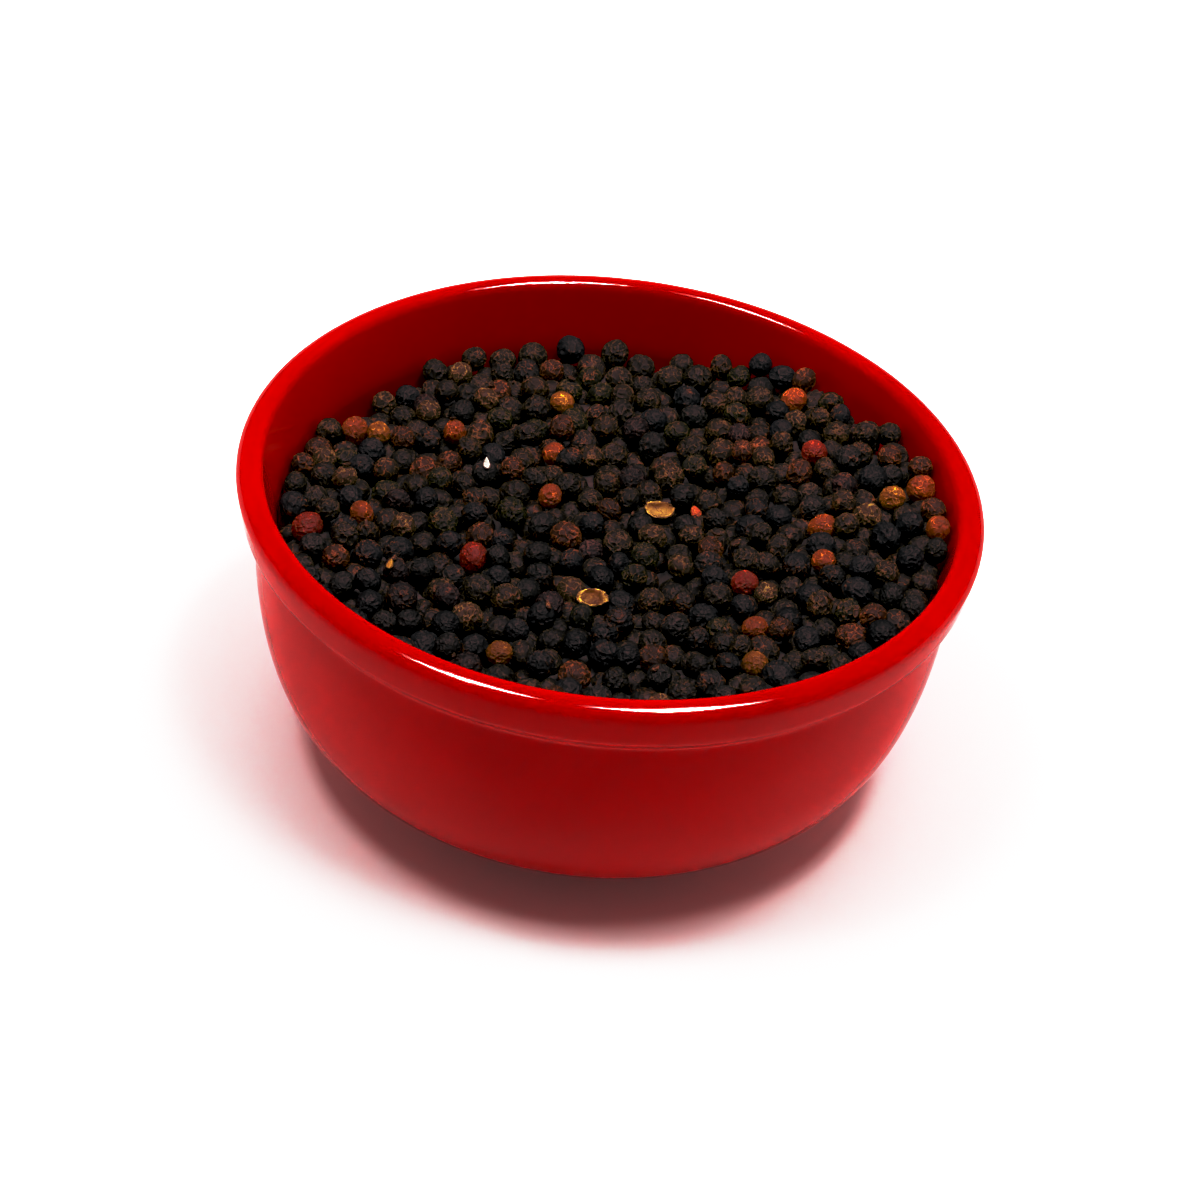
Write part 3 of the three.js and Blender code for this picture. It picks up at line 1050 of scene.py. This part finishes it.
class StageLook(bpy.types.PropertyGroup):
    """The floor, the light and where the picture is taken from."""

    floor_colour: FloatVectorProperty(
        name="Floor", description="The floor's colour", subtype="COLOR", default=(0.86, 0.86, 0.86)
    )
    elevation: FloatProperty(
        name="Elevation",
        description="How far the camera looks down",
        subtype="ANGLE",
        default=math.radians(37.24),
    )
    roll: FloatProperty(
        name="Roll", description="How far the camera leans", subtype="ANGLE", default=math.radians(6.93)
    )
    lens: FloatProperty(
        name="Lens", description="Focal length on a 36 mm sensor", subtype="DISTANCE_CAMERA", default=112.78
    )
    lamps: FloatProperty(
        name="Lamps", description="How much light the overhead lamps shed", default=1.0
    )
    gleam: FloatProperty(
        name="Gleam", description="How bright the lamps are in the glaze's gloss", default=230.0
    )
    sky: FloatProperty(
        name="Room", description="How bright the room is above, at the sides and behind", default=0.5
    )
    sky_low: FloatProperty(
        name="Low room", description="How bright the room is low down at the sides and behind", default=6.2
    )
    sky_front: FloatProperty(
        name="Room in front",
        description="The room towards the viewer, as a share of the rest",
        default=0.02,
    )


# ---------------------------------------------------------------- operators


class PEPPER_OT_bowl(bpy.types.Operator):
    """Turn the bowl, round its corners and glaze it"""

    bl_idname = "pepper.bowl"
    bl_label = "Glazed Bowl"

    def execute(self, context):
        look = context.scene.pepper_bowl
        profile = full_size(softened(bowl_profile(), PROFILE_STEP, SOFTENINGS))
        piece = turned("glazed_bowl", spaced(profile), look.sides)
        wobbled(piece, WOBBLE)
        dressed(piece, glaze_material(look), "bowl")
        return {"FINISHED"}


class PEPPER_OT_core(bpy.types.Operator):
    """Fill the bowl with the body of the heap under the loose grains, near black as painted shade of its
    deep gaps
    """

    bl_idname = "pepper.core"
    bl_label = "Heap Core"

    def execute(self, context):
        look = context.scene.pepper_heap
        well = softened(well_curve(), CORE_STEP, 0)
        wall = [(max(0, r - CORE_GAP), z + CORE_GAP) for r, z in well if z + CORE_GAP < CORE_EDGE_HEIGHT]
        edge, top = wall[-1]
        rings = [(edge * (1 - ring / CORE_RINGS), top) for ring in range(1, CORE_RINGS + 1)]
        piece = turned("pepper_core_shade", [*wall, *rings], CORE_SIDES)
        places = read_places(piece.data)
        random = np.random.default_rng(look.seed)
        bumps = CORE_BUMP * waves(places, random, math.tau / (2 * GRAIN_PITCH), CORE_WAVES)
        for i, (x, y, z) in enumerate(places):
            if z > top - CORE_TOP_REACH and math.hypot(x, y) < edge - CORE_EDGE_REACH:
                places[i, 2] = heap_level(x / MM, y / MM) * MM - look.core_drop + bumps[i]
        write_places(piece.data, places)
        dressed(piece, core_shade_material(), "peppercorns")
        return {"FINISHED"}


class PEPPER_OT_peppercorns(bpy.types.Operator):
    """Pour the peppercorns and join each kind into one piece"""

    bl_idname = "pepper.peppercorns"
    bl_label = "Peppercorns"

    def execute(self, context):
        look = context.scene.pepper_heap
        random = np.random.default_rng(look.seed)
        grains = poured_bed().grains
        kinds = kind_of_each(grains, random)
        whole = moulds(look.seed, look.shapes, [faces for _, faces in FACES_BY_STAND])
        halves = moulds(look.seed + 1, SPLIT_SHAPES, [TOP_FACES], split=True)
        copies = {}
        for grain, kind in zip(grains, kinds):
            stand = grain[4] + grain[3]
            faces = next((faces for least, faces in FACES_BY_STAND if stand > least), None)
            if faces is None:
                continue
            library = halves if kind == "split" else whole
            turn = split_turn(random) if kind == "split" else random_turn(random)
            shape = library[faces][int(random.integers(len(library[faces])))]
            points = shape[0] @ turn.T * (SWELL * grain[3] * MM) + np.array(grain[:3]) * MM
            lot = random.uniform(-1, 1)
            if not KINDS[kind][0]:
                lot = PLACED_LOT * abs(lot)
            attributes = {
                "crest": shape[2],
                "pith": shape[3],
                "shade": MIDDLE_SHADE + SHADE_BY_LOT * lot + SHADE_TO_BACK * backness(grain),
                "rust": random.uniform(0, 1) ** 2,
            }
            kind = kind if stand > TOP_STAND_MM else "lower"
            copies.setdefault(kind, []).append((points, shape[1], attributes))
        joined_by_kind("peppercorns_", copies)
        return {"FINISHED"}


def split_turn(random):
    """A turn that brings a split berry's open side up and forward and its length from side to side."""
    aside = random.uniform(*SPLIT_LEAN_ASIDE)
    up = Vector((aside, random.uniform(*SPLIT_LEAN_FORWARD), 1)).normalized()
    long = across(Vector((1, random.uniform(*SPLIT_TURN), 0)), up)
    return np.array([up, long.cross(up), long]).T


def across(way, up):
    """The direction square to up that is nearest to way."""
    return (way - up * way.dot(up)).normalized()


def pressed(mould, length, width, thickness):
    """A berry's mould pressed into a curled chip that narrows to one end."""
    along = mould[:, 0]
    places = mould * np.array([length, width, thickness]) / 2
    places[:, 1] *= 1 - CRUMB_TAPER * along
    places[:, 2] += CRUMB_CURL * length * (along * along - CRUMB_CURL_SINK)
    return places


def lying(bed, x, y, turn):
    """Where a crumb lies on the grains under it, and its turn: its length, its width and its up."""

    def height(east, north):
        return bed.let_down(x + east, y + north, CRUMB_REST_MM)[2]

    east = height(SLOPE_STEP_MM, 0) - height(-SLOPE_STEP_MM, 0)
    north = height(0, SLOPE_STEP_MM) - height(0, -SLOPE_STEP_MM)
    up = Vector((-east, -north, 2 * SLOPE_STEP_MM)).normalized()
    long = across(Vector((math.cos(turn), math.sin(turn), 0)), up)
    return np.array([x, y, height(0, 0)]), np.array([long, up.cross(long), up]).T


def scattered_flakes(random):
    """Bits of husk anywhere on the heap, in the form of the crumbs that stand out."""
    flakes = []
    for _ in range(FLAKES):
        turn, way = random.uniform(0, math.tau, 2)
        reach = FLAKE_REACH_MM * math.sqrt(random.uniform(0, 1))
        length = random.uniform(*FLAKE_LENGTHS_MM)
        x, y = reach * math.cos(way), reach * math.sin(way)
        flakes.append((x, y, length, length * FLAKE_WIDTH, turn, "husk_flake"))
    return flakes


class PEPPER_OT_crumbs(bpy.types.Operator):
    """Scatter chips and flakes of husk over the peppercorns"""

    bl_idname = "pepper.crumbs"
    bl_label = "Crumbs"

    def execute(self, context):
        look = context.scene.pepper_heap
        random = np.random.default_rng(look.seed + 2)
        shapes = moulds(look.seed + 2, CRUMB_SHAPES, [CRUMB_FACES])[CRUMB_FACES]
        copies = {}
        for x, y, length, width, turn, kind in (*CRUMBS_MM, *scattered_flakes(random)):
            place, way = lying(poured_bed(), x, y, turn)
            shape = shapes[int(random.integers(len(shapes)))]
            points = (pressed(shape[0], length, width, CRUMB_THICKNESS_MM) @ way.T + place) * MM
            shade = random.uniform(*CRUMB_SHADES)
            attributes = {"crest": shape[2], "pith": 0, "shade": shade, "rust": 0}
            copies.setdefault(kind, []).append((points, shape[1], attributes))
        joined_by_kind("crumbs_", copies)
        return {"FINISHED"}


class PEPPER_OT_stage(bpy.types.Operator):
    """Set out the pale floor, the lamps, the room's light and the camera"""

    bl_idname = "pepper.stage"
    bl_label = "Stage"

    def execute(self, context):
        look = context.scene.pepper_stage
        deselect_all()
        bpy.ops.mesh.primitive_plane_add(size=FLOOR_SIZE, location=(0, 0, -FLOOR_DROP))
        floor = context.object
        floor.name = "floor"
        floor.data.materials.append(floor_material(look))
        self.room(context.scene, look)
        for name, (lean, spread, light, mirrored) in LAMPS.items():
            way = Vector((*lean, math.sqrt(1 - lean[0] ** 2 - lean[1] ** 2)))
            seen = math.radians(spread[0]) * math.radians(spread[1])
            soft = self.lamp(name, way, spread, look.lamps * light / (seen * way.z))
            soft.visible_glossy = False
            if mirrored:
                nearer = (way + Vector((0, GLEAM_LEAN, 0))).normalized()
                gleam = self.lamp(name + "_gleam", nearer, (spread[0], GLEAM_DEPTH), look.gleam)
                gleam.visible_diffuse = False
        self.camera(context.scene, look)
        self.tone(context.scene.view_settings)
        return {"FINISHED"}

    def tone(self, settings):
        """A contrasty picture: its shadows go to black early, green and blue before red."""
        settings.view_transform = "Standard"
        settings.look = "None"
        settings.use_curve_mapping = True
        mapping = settings.curve_mapping
        mapping.black_level = (BLACK_LEVEL,) * 3
        for colour, curve in ((ALL_COLOURS, TONE_CURVE), (GREEN, SHADOW_CURVE), (BLUE, SHADOW_CURVE)):
            for place in curve:
                mapping.curves[colour].points.new(*place).handle_type = "AUTO_CLAMPED"
        mapping.update()

    def lamp(self, name, way, spread, radiance):
        """A soft long lamp overhead that faces the bowl."""
        place = Vector((0, 0, BOWL_HEIGHT)) + way * LAMP_DISTANCE
        bpy.ops.object.light_add(type="AREA", location=place)
        lamp = bpy.context.object
        lamp.name = name
        lamp.data.shape = "RECTANGLE"
        lamp.data.size, lamp.data.size_y = (math.radians(part) * LAMP_DISTANCE for part in spread)
        lamp.data.energy = radiance * math.pi * lamp.data.size * lamp.data.size_y
        lamp.rotation_euler = (-way).to_track_quat("-Z", "Y").to_euler()
        return lamp

    def room(self, scene, look):
        """A pale room: bright low down at the sides and behind, dim above, dark towards the viewer."""
        world = bpy.data.worlds.new("room")
        scene.world = world
        world.use_nodes = True
        world.cycles_visibility.glossy = False
        light = Wiring(world.node_tree)
        way = light.node("ShaderNodeTexCoord", None, None, "Generated")
        behind = light.between(light.part(way, "Y"), *BEHIND, look.sky_front, 1.0)
        low_down = light.between(light.part(way, "Z"), *LOW_DOWN, look.sky_low, look.sky)
        back = light.tree.nodes["Background"]
        light.feed(back.inputs["Strength"], behind * low_down)
        light.feed(back.inputs["Color"], (1, 1, 1, 1))

    def camera(self, scene, look):
        """The camera as the picture was taken: from the front, from above, leaning a little."""
        camera = bpy.data.objects.new("camera", bpy.data.cameras.new("camera"))
        scene.collection.objects.link(camera)
        camera.data.lens = look.lens
        camera.data.sensor_width = SENSOR_WIDTH_MM
        camera.data.clip_start, camera.data.clip_end = CLIP
        tilt = Matrix.Rotation(math.pi / 2 - look.elevation, 4, "X")
        roll = Matrix.Rotation(look.roll, 4, "Z")
        camera.matrix_world = Matrix.Translation(CAMERA_PLACE) @ tilt @ roll
        scene.camera = camera


class PEPPER_PT_panel(bpy.types.Panel):
    """Lists the pieces and their settings"""

    bl_idname = "PEPPER_PT_panel"
    bl_label = "Bowl of Peppercorns"
    bl_space_type = "VIEW_3D"
    bl_region_type = "UI"
    bl_category = "Peppercorns"

    def draw(self, context):
        scene = context.scene
        for group, operators in (
            (scene.pepper_bowl, (PEPPER_OT_bowl,)),
            (scene.pepper_heap, (PEPPER_OT_core, PEPPER_OT_peppercorns, PEPPER_OT_crumbs)),
            (scene.pepper_stage, (PEPPER_OT_stage,)),
        ):
            box = self.layout.box()
            for name in group.__annotations__:
                box.prop(group, name)
            for operator in operators:
                box.operator(operator.bl_idname)


CLASSES = (
    BowlLook,
    HeapLook,
    StageLook,
    PEPPER_OT_bowl,
    PEPPER_OT_core,
    PEPPER_OT_peppercorns,
    PEPPER_OT_crumbs,
    PEPPER_OT_stage,
    PEPPER_PT_panel,
)


def register():
    for made in CLASSES:
        bpy.utils.register_class(made)
    bpy.types.Scene.pepper_bowl = PointerProperty(type=BowlLook)
    bpy.types.Scene.pepper_heap = PointerProperty(type=HeapLook)
    bpy.types.Scene.pepper_stage = PointerProperty(type=StageLook)


def unregister():
    del bpy.types.Scene.pepper_bowl
    del bpy.types.Scene.pepper_heap
    del bpy.types.Scene.pepper_stage
    for made in reversed(CLASSES):
        bpy.utils.unregister_class(made)


def main():
    register()
    bpy.ops.pepper.bowl()
    bpy.ops.pepper.core()
    bpy.ops.pepper.peppercorns()
    bpy.ops.pepper.crumbs()
    bpy.ops.pepper.stage()


if __name__ == "__main__":
    main()
